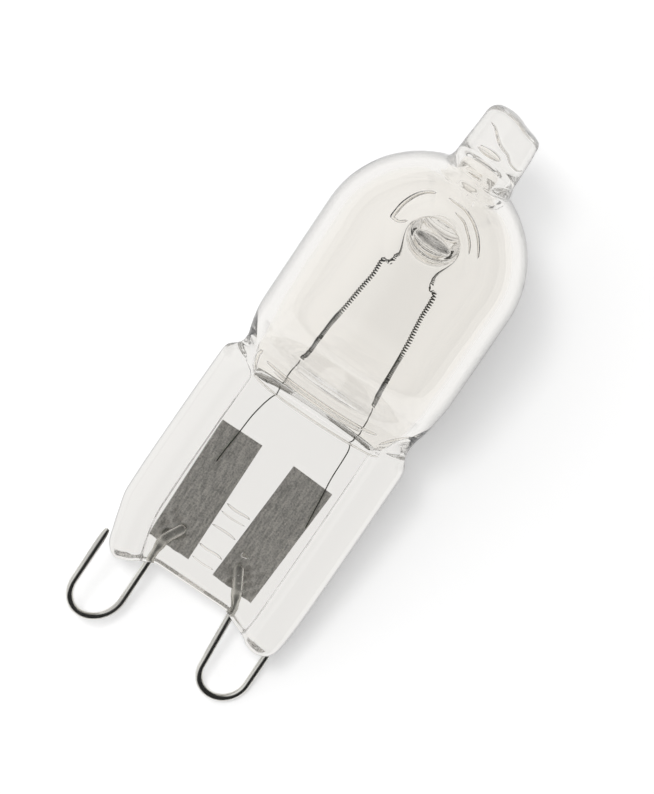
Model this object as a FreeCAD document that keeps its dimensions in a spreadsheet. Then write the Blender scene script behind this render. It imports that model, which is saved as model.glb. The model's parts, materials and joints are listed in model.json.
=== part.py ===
import FreeCAD, Part
import math
import os

import Sketcher

# Halogen capsule bulb with two looped contacts, in millimetres.
# The lamp is drawn upright: X across the flat pinch, -Y towards the front,
# Z up along the lamp, with Z = 0 at the lower edge of the pinch's web.
# At the end every piece gets the one placement that lays the lamp on its back.

os.makedirs("parts", exist_ok=True)

SIZES = {
    # quartz bulb: straight tube with a round dome
    "bulb_diameter": 13.5,
    "wall": 1.0,
    "tube_length": 5.82,
    # shoulder from the round tube down to the flat pinch, as rises above the pinch
    "shoulder_rise": 5.86,
    "waist_rise": 4.46,
    "neck_rise": 1.41,
    "neck_inset": 0.55,
    "cavity_rise": 0.46,
    "cavity_inset": 1.6,
    "cavity_foot_gap": 0.24,
    # flat pinch with a thicker rail along each side
    "pinch_width": 14.0,
    "pinch_shift": -0.28,
    "pinch_height": 13.74,
    "web_thickness": 2.4,
    "rail_thickness": 3.6,
    "rail_width": 2.4,
    "rail_slope": 0.45,
    "rail_rounding": 1.2,
    "foot_taper_height": 2.9,
    "foot_taper_left": 0.68,
    "foot_taper_right": 0.14,
    "foot_corner_width": 0.64,
    "foot_corner_rise": 0.38,
    "foot_rounding": 0.35,
    "pinch_corner_rounding": 0.9,
    "lobe_left": 1.02,
    "lobe_right": 1.12,
    "lobe_inset_left": 1.81,
    "lobe_inset_right": 1.38,
    "web_foot_left": 4.0,
    "web_foot_right": 4.2,
    # exhaust stub on top of the dome, closed by melting
    "stub_shift": 0.2,
    "stub_base_diameter": 4.3,
    "stub_top_diameter": 3.9,
    "stub_length": 4.28,
    "stub_slant": 11.0,
    "stub_rounding": 0.55,
    "stub_bore_diameter": 1.1,
    "stub_bore_length": 2.33,
    # two opposite dimples that pinch the middle of the filament
    "dimple_rise": 2.28,
    "dimple_shift": 0.09,
    "dimple_bore": 1.6,
    "dimple_wall": 0.7,
    "dimple_flare": 4.0,
    "dimple_mouth_depth": 3.75,
    "dimple_end_wall": 0.8,
    # molybdenum foils inside the pinch
    "foil_width": 3.0,
    "foil_length": 8.79,
    "foil_thickness": 0.05,
    "foil_foot": 1.31,
    "foil_left_x": -3.0,
    "foil_right_x": 1.81,
    "foil_left_lean": -0.8,
    "foil_right_lean": 2.7,
    # contact loops of round wire, hammered flat where they lie on the foils
    "wire_diameter": 0.5,
    "wire_in_glass": 1.0,
    "loop_left_x": -3.53,
    "loop_left_spread": 3.84,
    "loop_left_centre": -3.42,
    "loop_left_swing": 33.0,
    "loop_left_end": 0.53,
    "loop_right_x": 2.94,
    "loop_right_spread": 3.36,
    "loop_right_centre": -3.85,
    "loop_right_swing": -23.0,
    "loop_right_lean": -4.3,
    "loop_right_end": -1.25,
    "blade_width": 0.62,
    "blade_thickness": 0.25,
    "blade_foot": 0.55,
    "blade_bend": 1.53,
    "blade_top": 3.07,
    "blade_left_lean": 0.75,
    "blade_right_lean": -0.8,
    # tungsten filament: wound coil and the bare tails of the same wire
    "coil_diameter": 0.31,
    "coil_foot_rise": 2.1,
    "coil_knee_drop": 3.55,
    "coil_shelf_drop": 2.95,
    "coil_crossing_drop": 0.64,
    "coil_foot_left": -2.59,
    "coil_knee_left": -1.9,
    "coil_shelf_left": -1.49,
    "coil_foot_right": 2.72,
    "coil_knee_right": 2.06,
    "coil_shelf_right": 1.66,
    "coil_bend": 0.4,
    "tail_diameter": 0.09,
    "tail_weld_gap": 0.01,
    "tail_overlap": 2.7,
    "tail_straight": 0.2,
    "tail_shift_left": -0.35,
    "tail_shift_right": 0.6,
    "tail_bend": 2.0,
}

SHOULDER_SECTIONS = 9
# fineness of the mesh, and number of steps, that find the ground under the lamp
GROUND_MESH = 0.02
GROUND_STEPS = 8

doc = FreeCAD.newDocument("halogen_capsule_bulb")
sheet = doc.addObject("Spreadsheet::Sheet", "Sizes")
for row, (alias, value) in enumerate(SIZES.items(), start=1):
    sheet.set(f"A{row}", alias.replace("_", " "))
    sheet.set(f"B{row}", str(value))
    sheet.setAlias(f"B{row}", alias)
doc.recompute()

# Places that several features share, as expressions on the sheet
BULB_RADIUS = "Sizes.bulb_diameter / 2"
SHOULDER_TOP = "Sizes.pinch_height + Sizes.shoulder_rise"
WAIST_HEIGHT = "Sizes.pinch_height + Sizes.waist_rise"
NECK_HEIGHT = "Sizes.pinch_height + Sizes.neck_rise"
NECK_HALF_WIDTH = "Sizes.bulb_diameter / 2 - Sizes.neck_inset"
CAVITY_FOOT = "Sizes.pinch_height + Sizes.cavity_rise"
DOME_CENTRE = f"{SHOULDER_TOP} + Sizes.tube_length"
DIMPLE_HEIGHT = f"{DOME_CENTRE} + Sizes.dimple_rise"
DIMPLE_THROAT = f"{BULB_RADIUS} - Sizes.dimple_mouth_depth"
COIL_FOOT = f"{CAVITY_FOOT} + Sizes.coil_foot_rise"
LEFT_EDGE = "Sizes.pinch_shift - Sizes.pinch_width / 2"
RIGHT_EDGE = "Sizes.pinch_shift + Sizes.pinch_width / 2"
FOIL_FRONT = "-Sizes.foil_thickness / 2"
FOIL_TOP = "Sizes.foil_foot + Sizes.foil_length"


def value_of(expression):
    return float(sheet.evalExpression(expression))


def bind(feature, **expressions):
    """Tie properties of a feature to expressions on the sheet."""
    for name, expression in expressions.items():
        feature.setExpression(name.replace("__", "."), expression)
    return feature


def place(feature, across="0", depth="0", height="0"):
    return bind(feature, Placement__Base__x=across, Placement__Base__y=depth, Placement__Base__z=height)


def turn(feature, axis, angle):
    feature.Placement.Rotation = FreeCAD.Rotation(FreeCAD.Vector(*axis), 1)
    return bind(feature, Placement__Rotation__Angle=angle)


def primitive(kind, name, **expressions):
    return bind(doc.addObject("Part::" + kind, name), **expressions)


def boolean(kind, name, base, tool):
    feature = doc.addObject("Part::" + kind, name)
    feature.Base = base
    feature.Tool = tool
    return feature


def joined(name, pieces):
    feature = doc.addObject("Part::MultiFuse", name)
    feature.Shapes = pieces
    return feature


def new_body(name):
    return doc.addObject("PartDesign::Body", name)


def outline(body, name, plane, corners):
    """A closed sketch with straight sides; each corner is a pair of expressions."""
    sketch = body.newObject("Sketcher::SketchObject", name)
    support = [item for item in body.Origin.OriginFeatures if item.Role == plane][0]
    sketch.AttachmentSupport = (support, [""])
    sketch.MapMode = "FlatFace"
    points = [FreeCAD.Vector(value_of(first), value_of(second), 0) for first, second in corners]
    for start, end in zip(points, points[1:] + points[:1]):
        sketch.addGeometry(Part.LineSegment(start, end), False)
    for side in range(len(corners)):
        following = (side + 1) % len(corners)
        sketch.addConstraint(Sketcher.Constraint("Coincident", side, 2, following, 1))
    for side, pair in enumerate(corners):
        for kind, expression in zip(("DistanceX", "DistanceY"), pair):
            size = Sketcher.Constraint(kind, -1, 1, side, 1, value_of(expression))
            sketch.setExpression(f"Constraints[{sketch.addConstraint(size)}]", expression)
    return sketch


def pad(body, name, sketch, length, both_ways=False):
    feature = body.newObject("PartDesign::Pad", name)
    feature.Profile = sketch
    if both_ways:
        feature.SideType = "Symmetric"
    bind(feature, Length=length)
    doc.recompute()
    return feature


def straight_edges(feature, direction, wanted):
    """Names of the straight edges along one direction whose middle is wanted."""
    names = []
    for number, edge in enumerate(feature.Shape.Edges, start=1):
        if edge.Curve.TypeId != "Part::GeomLine":
            continue
        if abs(edge.tangentAt(edge.FirstParameter).dot(direction)) < 0.999:
            continue
        if wanted(edge.CenterOfMass):
            names.append(f"Edge{number}")
    return names


def rounded(body, name, base, edges, radius):
    feature = body.newObject("PartDesign::Fillet", name)
    feature.Base = (base, edges)
    bind(feature, Radius=radius)
    body.Tip = feature
    doc.recompute()
    return feature


# Quartz envelope

def round_bulb(name, radius, foot):
    """Straight tube and dome, turned about the lamp's axis."""
    tube = primitive("Cylinder", name + "_tube", Radius=radius, Height=f"{DOME_CENTRE} - ({foot})")
    place(tube, height=foot)
    dome = place(primitive("Sphere", name + "_dome", Radius=radius), height=DOME_CENTRE)
    return [tube, dome]


def ease(share):
    """Falls smoothly from 1 to 0 while the share grows from 0 to 1."""
    return 0.5 + 0.5 * math.cos(math.pi * min(1, max(0, share)))


def shoulder(name, foot, half_width, half_depth, radius):
    """Loft of ellipses that flattens smoothly from the tube to the pinch."""
    top = value_of(SHOULDER_TOP)
    waist = value_of(WAIST_HEIGHT)
    neck = value_of(NECK_HEIGHT)
    sections = []
    for step in range(SHOULDER_SECTIONS):
        share = step / (SHOULDER_SECTIONS - 1)
        level = top + (value_of(foot) - top) * share
        round_share = ease(share)
        wide_share = ease((waist - level) / (waist - neck))
        section = primitive(
            "Ellipse",
            f"{name}_section_{step}",
            MajorRadius=f"({half_width}) + ({radius} - ({half_width})) * {wide_share:.6f}",
            MinorRadius=f"({half_depth}) + ({radius} - ({half_depth})) * {round_share:.6f}",
        )
        place(section, height=f"{SHOULDER_TOP} + ({foot} - ({SHOULDER_TOP})) * {share:.6f}")
        sections.append(section)
    loft = doc.addObject("Part::Loft", name)
    loft.Sections = sections
    loft.Solid = True
    return loft


def pinch_section():
    """Plan of the pinch: a thin web between two thicker rails."""
    body = new_body("pinch_plan")
    rail = "Sizes.rail_thickness / 2"
    web = "Sizes.web_thickness / 2"
    left_rail = f"{LEFT_EDGE} + Sizes.rail_width"
    right_rail = f"{RIGHT_EDGE} - Sizes.rail_width"
    back = [
        (LEFT_EDGE, rail),
        (f"{left_rail} - Sizes.rail_slope", rail),
        (left_rail, web),
        (right_rail, web),
        (f"{right_rail} + Sizes.rail_slope", rail),
        (RIGHT_EDGE, rail),
    ]
    front = [(across, f"-({depth})") for across, depth in reversed(back)]
    sketch = outline(body, "pinch_plan_outline", "XY_Plane", back + front)
    deepest = "max(Sizes.lobe_left; Sizes.lobe_right)"
    block = pad(body, "pinch_plan_block", sketch, f"{NECK_HEIGHT} + {deepest}")
    place(body, height=f"-{deepest}")
    middle_x = value_of("Sizes.pinch_shift")
    nearly_outside = value_of("Sizes.pinch_width / 2 - Sizes.rail_slope / 2")
    names = straight_edges(
        block, FreeCAD.Vector(0, 0, 1), lambda point: abs(point.x - middle_x) > nearly_outside
    )
    rounded(body, "pinch_plan_rounding", block, names, "Sizes.rail_rounding")
    return body


def pinch_front():
    """Front outline of the pinch, with a lobe under each rail."""
    body = new_body("pinch_front")
    left_lobe = f"{LEFT_EDGE} + Sizes.lobe_inset_left"
    right_lobe = f"{RIGHT_EDGE} - Sizes.lobe_inset_right"
    corners = [
        (f"-({NECK_HALF_WIDTH})", NECK_HEIGHT),
        (LEFT_EDGE, "Sizes.pinch_height"),
        (LEFT_EDGE, "Sizes.foot_taper_height"),
        (f"{LEFT_EDGE} + Sizes.foot_taper_left", "0"),
        (f"{left_lobe} - Sizes.foot_corner_width", "Sizes.foot_corner_rise - Sizes.lobe_left"),
        (left_lobe, "-Sizes.lobe_left"),
        (f"{LEFT_EDGE} + Sizes.web_foot_left", "0"),
        (f"{RIGHT_EDGE} - Sizes.web_foot_right", "0"),
        (right_lobe, "-Sizes.lobe_right"),
        (f"{right_lobe} + Sizes.foot_corner_width", "Sizes.foot_corner_rise - Sizes.lobe_right"),
        (f"{RIGHT_EDGE} - Sizes.foot_taper_right", "0"),
        (RIGHT_EDGE, "Sizes.foot_taper_height"),
        (RIGHT_EDGE, "Sizes.pinch_height"),
        (NECK_HALF_WIDTH, NECK_HEIGHT),
    ]
    sketch = outline(body, "pinch_front_outline", "XZ_Plane", corners)
    block = pad(body, "pinch_front_block", sketch, "Sizes.rail_thickness * 1.5", both_ways=True)
    through = FreeCAD.Vector(0, 1, 0)
    web_foot = value_of("-min(Sizes.lobe_left; Sizes.lobe_right) / 4")
    names = straight_edges(block, through, lambda point: point.z < web_foot)
    feet = rounded(body, "pinch_front_feet", block, names, "Sizes.foot_rounding")
    below = value_of("(Sizes.foot_taper_height + Sizes.pinch_height) / 2")
    above = value_of("Sizes.pinch_height + Sizes.neck_rise / 2")
    names = straight_edges(feet, through, lambda point: below < point.z < above)
    rounded(body, "pinch_front_shoulders", feet, names, "Sizes.pinch_corner_rounding")
    return body


def exhaust_stub():
    """Melted end of the exhaust tube: a short cone with a slanting, rounded top."""
    foot = f"{DOME_CENTRE} + {BULB_RADIUS} - Sizes.wall / 2"
    top = f"{DOME_CENTRE} + {BULB_RADIUS} + Sizes.stub_length"
    cone = primitive(
        "Cone",
        "stub_cone",
        Radius1="Sizes.stub_base_diameter / 2",
        Radius2="Sizes.stub_top_diameter / 2",
        Height=f"{top} + Sizes.stub_top_diameter / 2 - ({foot})",
    )
    place(cone, across="Sizes.stub_shift", height=foot)
    trim = primitive(
        "Box",
        "stub_trim",
        Length="Sizes.stub_base_diameter * 2",
        Width="Sizes.stub_base_diameter * 2",
        Height="Sizes.stub_base_diameter",
    )
    turn(trim, (0, 1, 0), "Sizes.stub_slant")
    place(
        trim,
        across="Sizes.stub_shift - Sizes.stub_base_diameter",
        depth="-Sizes.stub_base_diameter",
        height=f"{top} + Sizes.stub_base_diameter / 2 * tan(Sizes.stub_slant)",
    )
    blank = boolean("Cut", "stub_blank", cone, trim)
    doc.recompute()
    rim = max(blank.Shape.Edges, key=lambda edge: edge.CenterOfMass.z)
    number = [edge.isSame(rim) for edge in blank.Shape.Edges].index(True) + 1
    stub = doc.addObject("Part::Fillet", "stub")
    stub.Base = blank
    radius = value_of("Sizes.stub_rounding")
    stub.Edges = [(number, radius, radius)]
    return stub


def stub_bore():
    """Narrow closed end of the exhaust passage."""
    inner_top = f"{DOME_CENTRE} + {BULB_RADIUS} - Sizes.wall"
    foot = f"{inner_top} - Sizes.wall / 2"
    end = f"{inner_top} + Sizes.stub_bore_length - Sizes.stub_bore_diameter / 2"
    passage = primitive(
        "Cone",
        "stub_bore_passage",
        Radius1="Sizes.stub_bore_diameter",
        Radius2="Sizes.stub_bore_diameter / 2",
        Height=f"{end} - ({foot})",
    )
    place(passage, across="Sizes.stub_shift", height=foot)
    cap = primitive("Sphere", "stub_bore_end", Radius="Sizes.stub_bore_diameter / 2")
    place(cap, across="Sizes.stub_shift", height=end)
    return [passage, cap]


def horn(name, side, throat, flare):
    """Trumpet along Y: the space inside the hole of a torus, from its middle outwards."""
    ring = f"({throat}) + ({flare})"
    block = primitive("Cylinder", name + "_block", Radius=ring, Height=flare)
    torus = primitive("Torus", name + "_torus", Radius1=ring, Radius2=flare)
    for feature in (block, torus):
        turn(feature, (1, 0, 0), str(-90 * side))
        place(
            feature,
            across="Sizes.dimple_shift",
            depth=f"{side} * ({DIMPLE_THROAT})",
            height=DIMPLE_HEIGHT,
        )
    return boolean("Cut", name, block, torus)


def pin(name, side, radius, near):
    """Straight round pin along Y, from near the middle out to the horn."""
    feature = primitive("Cylinder", name, Radius=radius, Height=f"{DIMPLE_THROAT} - ({near})")
    turn(feature, (1, 0, 0), str(-90 * side))
    return place(
        feature,
        across="Sizes.dimple_shift",
        depth=f"{side} * ({near})",
        height=DIMPLE_HEIGHT,
    )


def dimple(word, side):
    """Returns the glass of one dimple, inside the bulb, and the air in it."""
    bore = "Sizes.dimple_bore / 2"
    post = f"{bore} + Sizes.dimple_wall"
    grip = "Sizes.coil_diameter / 2"
    post_flare = "Sizes.dimple_flare - Sizes.dimple_wall"
    floor = f"{grip} + Sizes.dimple_end_wall + {bore}"
    glass = [
        pin(f"dimple_{word}_post", side, post, grip),
        horn(f"dimple_{word}_collar", side, post, post_flare),
    ]
    end = primitive("Sphere", f"dimple_{word}_floor", Radius=bore)
    place(end, "Sizes.dimple_shift", f"{side} * ({floor})", DIMPLE_HEIGHT)
    air = [
        end,
        pin(f"dimple_{word}_bore", side, bore, floor),
        horn(f"dimple_{word}_mouth", side, bore, "Sizes.dimple_flare"),
    ]
    return glass, air


# Metal inside and below the pinch

def foil(word):
    """Flat strip of foil in the middle plane of the pinch."""
    lean = f"Sizes.foil_{word}_lean"
    half = "Sizes.foil_width / 2"
    plate = primitive(
        "Box",
        f"foil_{word}",
        Length="Sizes.foil_width",
        Width="Sizes.foil_thickness",
        Height="Sizes.foil_length",
    )
    turn(plate, (0, 1, 0), lean)
    return place(
        plate,
        across=f"Sizes.foil_{word}_x - {half} * cos({lean})",
        depth=FOIL_FRONT,
        height=f"Sizes.foil_foot + {half} * sin({lean})",
    )


def blade(word, root):
    """Flattened end of the contact wire, bent over the front of its foil."""
    half = "Sizes.blade_width / 2"
    lean = f"Sizes.blade_{word}_lean"
    left = [
        (f"{root} - {half}", "Sizes.blade_foot"),
        (f"{root} - {half}", "Sizes.blade_bend"),
        (f"{root} + {lean} - {half}", "Sizes.blade_top"),
    ]
    right = [(across + " + Sizes.blade_width", height) for across, height in reversed(left)]
    body = new_body(f"blade_{word}")
    sketch = outline(body, f"blade_{word}_outline", "XZ_Plane", left + right)
    pad(body, f"blade_{word}_strip", sketch, "Sizes.blade_thickness")
    return place(body, depth=FOIL_FRONT)


def wire_piece(name, length, across, depth, height):
    rod = primitive("Cylinder", name, Radius="Sizes.wire_diameter / 2", Height=length)
    return place(rod, across, depth, height)


def contact_loop(word, outward, swing, lean):
    """Round wire: a leg out of the glass, a half-turn bend and the free leg back up."""
    near = f"Sizes.loop_{word}_x"
    spread = f"Sizes.loop_{word}_spread"
    centre = f"Sizes.loop_{word}_centre"
    radius = "Sizes.wire_diameter / 2"
    along = f"{outward} * {spread} * cos({swing})"
    forward = f"-{spread} * sin({swing})"
    bend = primitive(
        "Torus",
        f"loop_{word}_bend",
        Radius1=f"{spread} / 2",
        Radius2=radius,
    )
    bend.Angle3 = 180
    upright = FreeCAD.Rotation(FreeCAD.Vector(1, 0, 0), -90)
    yaw = FreeCAD.Rotation(FreeCAD.Vector(0, 0, 1), -outward * value_of(swing))
    bend.Placement.Rotation = yaw * upright
    place(bend, f"{near} + ({along}) / 2", f"({forward}) / 2", centre)
    root_length = f"Sizes.wire_in_glass - ({centre})"
    root = wire_piece(f"loop_{word}_root", root_length, near, "0", centre)
    turn(root, (0, 1, 0), lean)
    knee = place(primitive("Sphere", f"loop_{word}_knee", Radius=radius), near, "0", centre)
    free_length = f"Sizes.loop_{word}_end - ({centre})"
    free = wire_piece(f"loop_{word}_leg", free_length, f"{near} + {along}", forward, centre)
    tip = primitive("Sphere", f"loop_{word}_tip", Radius=radius)
    place(tip, f"{near} + {along}", forward, f"Sizes.loop_{word}_end")
    top_of_root = f"{near} + (Sizes.wire_in_glass - ({centre})) * sin({lean})"
    return joined(f"loop_{word}", [root, knee, bend, free, tip, blade(word, top_of_root)])


def wire_path(name, points, depth, bend):
    """Straight runs in one plane joined by tangent arcs, as one wire."""
    corners = [FreeCAD.Vector(across, depth, height) for across, height in points]
    edges = []
    start = corners[0]
    for before, corner, after in zip(corners, corners[1:], corners[2:]):
        toward = (before - corner).normalize()
        onward = (after - corner).normalize()
        half_angle = toward.getAngle(onward) / 2
        longest = 0.45 * min((before - corner).Length, (after - corner).Length)
        reach = min(bend / math.tan(half_angle), longest)
        radius = reach * math.tan(half_angle)
        entry = corner + toward * reach
        leave = corner + onward * reach
        inward = (toward + onward).normalize()
        middle = corner + inward * (radius / math.sin(half_angle) - radius)
        edges.append(Part.LineSegment(start, entry).toShape())
        edges.append(Part.Arc(entry, middle, leave).toShape())
        start = leave
    edges.append(Part.LineSegment(start, corners[-1]).toShape())
    path = doc.addObject("Part::Feature", name)
    path.Shape = Part.Wire(edges)
    return path


def swept(name, path, diameter):
    """Round section carried along a path."""
    first = path.Shape.Edges[0]
    ring = primitive("Circle", name + "_ring", Radius=diameter + " / 2")
    heading = first.tangentAt(first.FirstParameter)
    ring.Placement = FreeCAD.Placement(
        first.valueAt(first.FirstParameter), FreeCAD.Rotation(FreeCAD.Vector(0, 0, 1), heading)
    )
    sweep = doc.addObject("Part::Sweep", name)
    sweep.Sections = [ring]
    sweep.Spine = (path, [f"Edge{n}" for n in range(1, len(path.Shape.Edges) + 1)])
    sweep.Solid = True
    return sweep


def filament():
    """Wound coil up one side, across between the dimples and down, with its two tails."""
    foot = value_of(COIL_FOOT)
    knee = value_of(f"{DIMPLE_HEIGHT} - Sizes.coil_knee_drop")
    shelf = value_of(f"{DIMPLE_HEIGHT} - Sizes.coil_shelf_drop")
    crossing = value_of(f"{DIMPLE_HEIGHT} - Sizes.coil_crossing_drop")
    sides = {}
    for word in ("left", "right"):
        sides[word] = [
            (value_of(f"Sizes.coil_foot_{word}"), foot),
            (value_of(f"Sizes.coil_knee_{word}"), knee),
            (value_of(f"Sizes.coil_shelf_{word}"), shelf),
            (value_of(f"Sizes.coil_shelf_{word}"), crossing),
        ]
    route = sides["left"] + sides["right"][::-1]
    coil_path = wire_path("coil_path", route, 0, value_of("Sizes.coil_bend"))
    pieces = [swept("coil", coil_path, "Sizes.coil_diameter")]
    depth = value_of(f"{FOIL_FRONT} - Sizes.tail_weld_gap - Sizes.tail_diameter / 2")
    for word in ("left", "right"):
        start = value_of(f"Sizes.coil_foot_{word}")
        end = start + value_of(f"Sizes.tail_shift_{word}")
        points = [
            (start, value_of(f"{COIL_FOOT} + Sizes.coil_diameter")),
            (start, value_of(f"{CAVITY_FOOT} - Sizes.tail_straight")),
            (end, value_of(FOIL_TOP)),
            (end, value_of(f"{FOIL_TOP} - Sizes.tail_overlap")),
        ]
        path = wire_path(f"tail_{word}_path", points, depth, value_of("Sizes.tail_bend"))
        pieces.append(swept(f"tail_{word}", path, "Sizes.tail_diameter"))
    return joined("filament_wire", pieces)


def glass_blank():
    """Everything the glass fills before its hollows are taken out."""
    outer = round_bulb("bulb", BULB_RADIUS, SHOULDER_TOP)
    web = "Sizes.web_thickness / 2"
    neck = shoulder("shoulder", "Sizes.pinch_height", NECK_HALF_WIDTH, web, BULB_RADIUS)
    pinch = boolean("Common", "pinch", pinch_section(), pinch_front())
    return joined("glass_blank", outer + [neck, pinch, exhaust_stub()])


def glass_hollows(metal):
    """The sealed cavity around the dimple posts, the air in the dimples and the metal's seats."""
    inside = f"{BULB_RADIUS} - Sizes.wall"
    cavity = round_bulb("cavity", inside, SHOULDER_TOP)
    foot_width = f"{NECK_HALF_WIDTH} - Sizes.cavity_inset"
    slit = "Sizes.cavity_foot_gap / 2"
    foot = shoulder("cavity_shoulder", CAVITY_FOOT, foot_width, slit, inside)
    posts = []
    air = []
    for word, side in (("front", -1), ("back", 1)):
        post_glass, dimple_air = dimple(word, side)
        posts += post_glass
        air += dimple_air
    whole = joined("cavity_whole", cavity + [foot] + stub_bore())
    gas = boolean("Cut", "gas_space", whole, joined("dimple_posts", posts))
    return joined("glass_hollows", [gas] + air + metal)


def piece(name, source):
    """A finished sub-part: the source in its own named object."""
    feature = doc.addObject("Part::Refine", name)
    feature.Label = name
    feature.Source = source
    return feature


def ground_normal(supports):
    """Upward normal of the plane that touches the lowest point of each of three supports."""
    normal = FreeCAD.Vector(0, -1, 0)
    for _ in range(GROUND_STEPS):
        first, second, third = [min(points, key=normal.dot) for points in supports]
        normal = (second - first).cross(third - first).normalize()
        if normal.y > 0:
            normal = -normal
    return normal


def lay_down(pieces, round_part, pinch, loop):
    """Lays the lamp on its back: on the shoulder, the left rail's foot and the right loop."""
    supports = [shape.tessellate(GROUND_MESH)[0] for shape in (round_part, pinch, loop)]
    supports[1] = [point for point in supports[1] if point.x < 0]
    up = ground_normal(supports)
    axis = FreeCAD.Vector(0, 0, 1)
    along = (axis - up * axis.dot(up)).normalize()
    lying = FreeCAD.Rotation(along.cross(up), along, up, "ZYX").inverted()
    for feature in pieces:
        feature.Placement = FreeCAD.Placement(FreeCAD.Vector(0, 0, 0), lying)
    whole = Part.makeCompound([feature.Shape for feature in pieces])
    box = whole.optimalBoundingBox(False, False)
    base = FreeCAD.Vector(-box.Center.x, -box.Center.y, -box.ZMin)
    for feature in pieces:
        feature.Placement = FreeCAD.Placement(base, lying)
    return math.degrees(axis.getAngle(along))


foils = {word: foil(word) for word in ("left", "right")}
loops = {
    "left": contact_loop("left", -1, "Sizes.loop_left_swing", "0"),
    "right": contact_loop("right", 1, "Sizes.loop_right_swing", "Sizes.loop_right_lean"),
}
wire = filament()
doc.recompute()
hollows = glass_hollows([foils["left"], foils["right"], loops["left"], loops["right"], wire])
envelope = boolean("Cut", "glass", glass_blank(), hollows)
doc.recompute()

pieces = [piece("quartz_envelope", envelope), piece("filament", wire)]
for word in ("left", "right"):
    pieces.append(piece(f"molybdenum_foil_{word}", foils[word]))
    pieces.append(piece(f"contact_loop_{word}", loops[word]))
doc.recompute()
tilt = lay_down(pieces, doc.getObject("shoulder").Shape, doc.getObject("pinch").Shape, loops["right"].Shape)
doc.recompute()

for item in doc.Objects:
    if "Invalid" in item.State or "Error" in item.State:
        raise RuntimeError(f"{item.Label} failed: {item.State}")
for feature in pieces:
    if feature.Shape.isNull() or not feature.Shape.isValid():
        raise RuntimeError(f"{feature.Label} has no valid shape")
for feature in pieces:
    feature.Shape.exportStep(f"parts/{feature.Label}.step")
    box = feature.Shape.BoundBox
    print(feature.Label, len(feature.Shape.Solids), "solid", round(feature.Shape.Volume, 3), "mm3", box)
print("lamp axis raised by", round(tilt, 2), "degrees")
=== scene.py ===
import json
import math

import bmesh
import bpy
import numpy as np
from mathutils import Matrix, Vector


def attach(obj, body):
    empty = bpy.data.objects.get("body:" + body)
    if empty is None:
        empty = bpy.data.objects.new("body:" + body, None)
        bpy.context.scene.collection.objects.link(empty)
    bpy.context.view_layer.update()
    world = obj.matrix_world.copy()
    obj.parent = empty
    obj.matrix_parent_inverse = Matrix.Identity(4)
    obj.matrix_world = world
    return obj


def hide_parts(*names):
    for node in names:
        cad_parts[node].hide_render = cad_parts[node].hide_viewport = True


bl_info = {
    "name": "Halogen capsule bulb",
    "version": (1, 0, 0),
    "blender": (4, 5, 0),
    "location": "View3D > Sidebar > Capsule bulb",
    "description": "Builds a clear quartz capsule bulb with its filament, foils and contact loops",
    "category": "Add Mesh",
}

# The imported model, and its box before anything is added.
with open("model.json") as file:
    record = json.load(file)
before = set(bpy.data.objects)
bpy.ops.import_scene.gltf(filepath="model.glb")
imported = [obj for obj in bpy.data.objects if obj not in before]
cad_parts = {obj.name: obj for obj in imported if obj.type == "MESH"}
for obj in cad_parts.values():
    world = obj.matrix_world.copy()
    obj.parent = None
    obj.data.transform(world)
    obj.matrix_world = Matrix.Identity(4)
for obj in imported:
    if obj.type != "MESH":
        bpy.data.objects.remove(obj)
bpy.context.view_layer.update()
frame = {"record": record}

# Every shape below is worked out in the lamp's own frame, in millimetres:
# X across the flat pinch, -Y towards the front, Z along the lamp towards the exhaust stub,
# with Z = 0 at the lower edge of the pinch's web. The record's mounts say where that frame lies.
MM = 0.001
RAIL_MARK = Vector((-5.73, 0.0, 7.0))


def lamp_frame():
    """Matrix from the lamp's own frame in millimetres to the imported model's frame in metres."""
    mounts = {mount["name"]: mount for mount in frame["record"]["mounts"]}
    up = -Vector(mounts["loop_left"]["axis"]).normalized()
    back = Vector(mounts["rail_back_left"]["axis"])
    back = (back - up * back.dot(up)).normalized()
    across = back.cross(up)
    turn = Matrix((across, back, up)).transposed()
    rails = [Vector(mounts[name]["pos_m"]) for name in ("rail_back_left", "rail_front_left")]
    middle = (rails[0] + rails[1]) / 2
    origin = middle - turn @ (RAIL_MARK * MM)
    return Matrix.Translation(origin) @ turn.to_4x4() @ Matrix.Scale(MM, 4)


LAMP = lamp_frame()

# Front outline of the pinch and neck, as (height, across) pairs for the two edges.
LEFT_EDGE = (
    (-0.32, -6.47), (0.57, -6.75), (1.6, -7.0), (2.3, -7.17), (2.95, -7.26), (5.1, -7.28),
    (9.0, -7.23), (12.1, -7.16), (13.4, -7.12), (13.87, -7.09), (14.25, -6.97), (14.5, -6.68),
    (14.76, -6.42), (15.08, -6.28), (15.46, -6.26), (15.97, -6.4), (16.6, -6.56), (17.9, -6.74),
    (19.2, -6.75), (21.0, -6.75),
)
RIGHT_EDGE = (
    (-0.19, 6.51), (0.64, 6.59), (2.56, 6.66), (7.0, 6.7), (10.9, 6.71), (12.8, 6.71),
    (13.3, 6.7), (13.87, 6.58), (14.25, 6.35), (14.57, 6.21), (15.02, 6.15), (15.65, 6.2),
    (16.3, 6.38), (17.57, 6.6), (18.8, 6.74), (19.8, 6.75), (21.0, 6.75),
)
# Lower edge of the pinch, as (across, height) pairs: a lobe under each rail and a flat web.
FOOT = (
    (-6.6, -0.1), (-6.47, -0.32), (-6.16, -0.66), (-5.8, -0.9), (-5.42, -1.02), (-5.0, -0.87),
    (-4.5, -0.66), (-3.9, -0.4), (-3.5, -0.18), (-3.2, -0.05), (-2.9, 0.0), (2.1, 0.0),
    (2.4, -0.05), (2.72, -0.18), (3.16, -0.4), (3.6, -0.57), (3.97, -0.72), (4.5, -0.96),
    (5.0, -1.08), (5.34, -1.12), (5.72, -1.03), (6.09, -0.87), (6.34, -0.62), (6.51, -0.19),
    (6.6, 0.0),
)
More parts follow.
